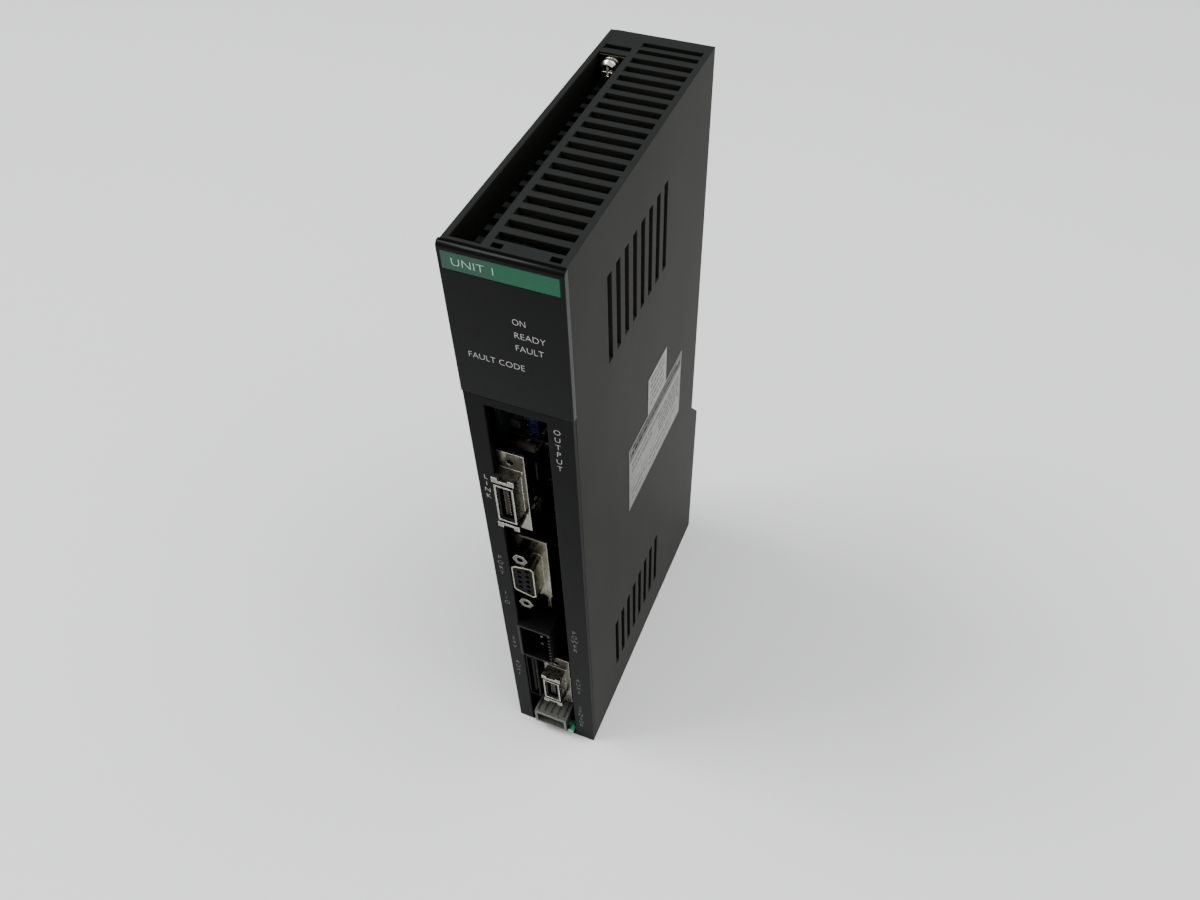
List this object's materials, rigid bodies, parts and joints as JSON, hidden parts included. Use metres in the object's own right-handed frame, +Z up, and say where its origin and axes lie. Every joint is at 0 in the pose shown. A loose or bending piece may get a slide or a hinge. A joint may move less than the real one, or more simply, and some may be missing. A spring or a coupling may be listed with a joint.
{
  "type": "plug-in rack module",
  "caption": "Tall narrow plug-in controller module with a louvred black case, smoked indicator cover, column of front cable ports and a captive fixing screw.",
  "frame": {"origin": "centre of the bounding box at the bottom face the module stands on", "axes": "+Z up along the tall side, +X to the right seen from the front, +Y towards the back; the ports face -Y"},
  "size_m": [0.032, 0.1156, 0.232],
  "materials": {
    "case_plastic": "fine texture",
    "bezel_plastic": "satin",
    "smoked_window": "gloss",
    "green_strip": "satin",
    "label_foil": "satin",
    "circuit_board": "satin",
    "black_plastic": "satin",
    "nickel_plate": "satin",
    "chromate_steel": "satin",
    "contact_gold": "satin",
    "bright_screw": "polished",
    "clear_nylon": "satin",
    "green_plastic": "satin",
    "blue_plastic": "satin",
    "white_plastic": "satin",
    "resistor_coat": "matte",
    "capacitor_sleeve": "gloss",
    "black_anodised": "matte",
    "brass": "satin"
  },
  "bodies": {
    "module": {"left_cover": "case_plastic", "right_housing": "case_plastic", "front_bezel": "bezel_plastic", "indicator_cover": "smoked_window", "name_strip": "green_strip", "rating_label": "label_foil", "serial_label": "label_foil", "main_board": "circuit_board", "interface_board": "circuit_board", "display_board": "circuit_board", "display_header": "black_plastic", "status_leds": "white_plastic", "code_display": "black_plastic", "stacking_header": "black_plastic", "board_spacers": "brass", "board_screws": "nickel_plate", "link_port_shell": "nickel_plate", "link_port_insulator": "black_plastic", "link_port_contacts": "contact_gold", "serial_port_shell": "chromate_steel", "serial_port_insulator": "black_plastic", "serial_port_contacts": "contact_gold", "serial_port_jackposts": "nickel_plate", "power_port_housing": "black_plastic", "power_port_pins": "nickel_plate", "slim_port_housing": "black_plastic", "slim_port_contacts": "contact_gold", "aux_port_shell": "nickel_plate", "aux_port_insulator": "black_plastic", "aux_port_contacts": "contact_gold", "signal_port_housing": "clear_nylon", "signal_port_pins": "nickel_plate", "coding_plug": "green_plastic", "trimmer_bodies": "blue_plastic", "power_resistor": "resistor_coat", "processor_chip": "black_plastic", "memory_chips": "black_plastic", "driver_chips": "black_plastic", "filter_capacitors": "capacitor_sleeve", "dc_converter": "black_plastic", "crystal_can": "nickel_plate", "heat_sink": "black_anodised", "bus_connector_housing": "black_plastic", "bus_connector_pins": "contact_gold", "screw_bracket": "chromate_steel"},
    "screw_washer": {"spring_washer": "nickel_plate"},
    "captive_screw": {"fixing_screw": "bright_screw"},
    "upper_rotor": {"upper_trimmer_rotor": "white_plastic"},
    "lower_rotor": {"lower_trimmer_rotor": "white_plastic"}
  },
  "joints": [
    {"name": "screw_slide", "type": "slide", "parent": "module", "child": "screw_washer", "axis": [0, -1, 0], "range_m": [0, 0.008]},
    {"name": "screw_spin", "type": "hinge", "parent": "screw_washer", "child": "captive_screw", "pos_m": [-0.00985, 0.0348, 0.2289], "axis": [0, 1, 0], "continuous": true},
    {"name": "upper_trimmer_turn", "type": "hinge", "parent": "module", "child": "upper_rotor", "pos_m": [-0.00205, -0.0432, 0.1664], "axis": [0, -1, 0], "range_deg": [-130, 130]},
    {"name": "lower_trimmer_turn", "type": "hinge", "parent": "module", "child": "lower_rotor", "pos_m": [-0.00205, -0.0432, 0.1627], "axis": [0, -1, 0], "range_deg": [-130, 130]}
  ]
}
